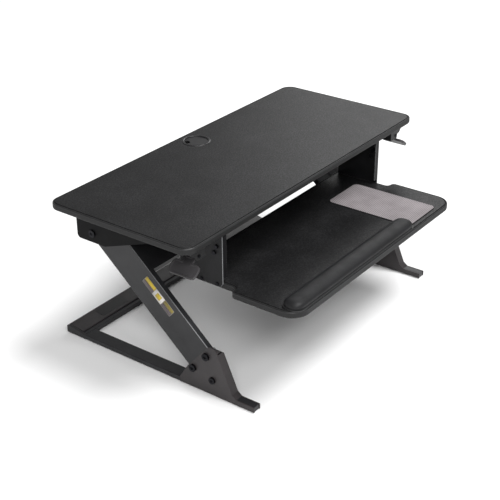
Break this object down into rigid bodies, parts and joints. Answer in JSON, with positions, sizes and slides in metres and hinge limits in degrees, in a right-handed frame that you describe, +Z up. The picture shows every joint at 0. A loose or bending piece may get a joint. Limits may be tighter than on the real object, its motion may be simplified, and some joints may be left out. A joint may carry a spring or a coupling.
{
  "type": "standing desk converter",
  "caption": "Height-adjustable desk riser: wide desktop on sprung parallelogram arms with a hung keyboard tray, gel wrist rest and release levers.",
  "frame": {"origin": "middle of the footprint's bounding box, on the surface that it stands on", "axes": "+X to the user's right, -Y towards the user, +Z up"},
  "size_m": [0.899, 0.634, 0.3937],
  "materials": {
    "black_steel": "satin powder coat",
    "gusset_steel": "satin powder coat, slightly lighter",
    "black_bolts": "black oxide, satin",
    "zinc_steel": "zinc plated",
    "spring_tube": "gloss black paint",
    "rod_chrome": "hard chrome, polished",
    "nylon": "natural nylon",
    "laminate": "black fine-textured laminate on fibreboard",
    "black_plastic": "fine moulded texture",
    "cable_sheath": "smooth satin",
    "pad_rubber": "matt",
    "gel_cover": "smooth satin leatherette",
    "pad_cloth": "light grey woven face",
    "sticker_film": "printed film, plain stripes",
    "plate_film": "blank satin film"
  },
  "bodies": {
    "base": {"rear_crossbar": "black_steel", "crossbar_cover": "gusset_steel", "left_end_cap": "black_plastic", "right_end_cap": "black_plastic", "blank_plate": "plate_film", "left_side_rail": "black_steel", "right_side_rail": "black_steel", "left_gusset": "gusset_steel", "right_gusset": "gusset_steel", "rubber_pads": "pad_rubber", "lower_pivot_bolts": "black_bolts", "gusset_bolts": "black_bolts", "lower_nuts": "zinc_steel"},
    "rear_arms": {"left_rear_arm": "black_steel", "right_rear_arm": "black_steel", "rear_arm_bushes": "nylon", "left_brace": "black_steel", "right_brace": "black_steel", "crank_pin": "zinc_steel"},
    "left_front_arm": {"left_front_arm": "black_steel", "left_front_bushes": "nylon", "arm_sticker": "sticker_film"},
    "right_front_arm": {"right_front_arm": "black_steel", "right_front_bushes": "nylon"},
    "top": {"desktop": "laminate", "grommet_ring": "black_plastic", "left_top_bracket": "black_steel", "right_top_bracket": "black_steel", "upper_pivot_bolts": "black_bolts", "upper_nuts": "zinc_steel", "front_cross_rail": "black_steel", "rear_cross_rail": "black_steel", "left_hanger": "black_steel", "right_hanger": "black_steel", "board_screws": "zinc_steel", "hanger_screws": "black_bolts", "tray_screws": "black_bolts", "keyboard_tray": "laminate", "wrist_rest_base": "black_plastic", "wrist_rest_pad": "gel_cover", "mouse_pad": "pad_cloth", "spring_bracket": "black_steel", "spring_cylinder": "spring_tube", "valve_head": "black_plastic", "left_lever_mount": "black_plastic", "right_lever_mount": "black_plastic", "left_lever_pin": "zinc_steel", "right_lever_pin": "zinc_steel", "left_cable": "cable_sheath", "right_cable": "cable_sheath"},
    "spring_rod": {"spring_rod": "rod_chrome", "rod_yoke": "zinc_steel"},
    "left_lever": {"left_lever": "black_plastic"},
    "right_lever": {"right_lever": "black_plastic"},
    "grommet_cap": {"grommet_cap": "black_plastic"}
  },
  "joints": [
    {"name": "lift", "type": "hinge", "parent": "base", "child": "rear_arms", "pos_m": [0, -0.0695, 0.0525], "axis": [1, 0, 0], "range_deg": [-40, 35.5]},
    {"name": "left_front_swing", "type": "hinge", "parent": "base", "child": "left_front_arm", "pos_m": [0, -0.1066, 0.09458], "axis": [1, 0, 0], "range_deg": [-40, 35.5]},
    {"name": "right_front_swing", "type": "hinge", "parent": "base", "child": "right_front_arm", "pos_m": [0, -0.1066, 0.09458], "axis": [1, 0, 0], "range_deg": [-40, 35.5]},
    {"name": "top_level", "type": "hinge", "parent": "rear_arms", "child": "top", "pos_m": [0, 0.20729, 0.29652], "axis": [1, 0, 0], "range_deg": [-35.5, 40]},
    {"name": "rod_slide", "type": "slide", "parent": "top", "child": "spring_rod", "axis": [0, 0.9397, -0.342], "range_m": [-0.0297, 0.0264]},
    {"name": "left_lever_pull", "type": "hinge", "parent": "top", "child": "left_lever", "pos_m": [-0.393, -0.0945, 0.353], "axis": [0, 1, 0], "range_deg": [0, 15], "stiffness_Nm_per_rad": 0.5, "springref_deg": -8.59},
    {"name": "right_lever_pull", "type": "hinge", "parent": "top", "child": "right_lever", "pos_m": [0.393, -0.0945, 0.353], "axis": [0, -1, 0], "range_deg": [0, 15], "stiffness_Nm_per_rad": 0.5, "springref_deg": -8.59},
    {"name": "cap_turn", "type": "hinge", "parent": "top", "child": "grommet_cap", "pos_m": [0, 0.2075, 0.39252], "axis": [0, 0, 1], "continuous": true}
  ],
  "couplings": [
    {"joint": "left_front_swing", "follows": "lift", "ratio": 1},
    {"joint": "right_front_swing", "follows": "lift", "ratio": 1},
    {"joint": "top_level", "follows": "lift", "ratio": -1},
    {"joint": "rod_slide", "follows": "lift", "m_per_rad": 0.0423}
  ]
}
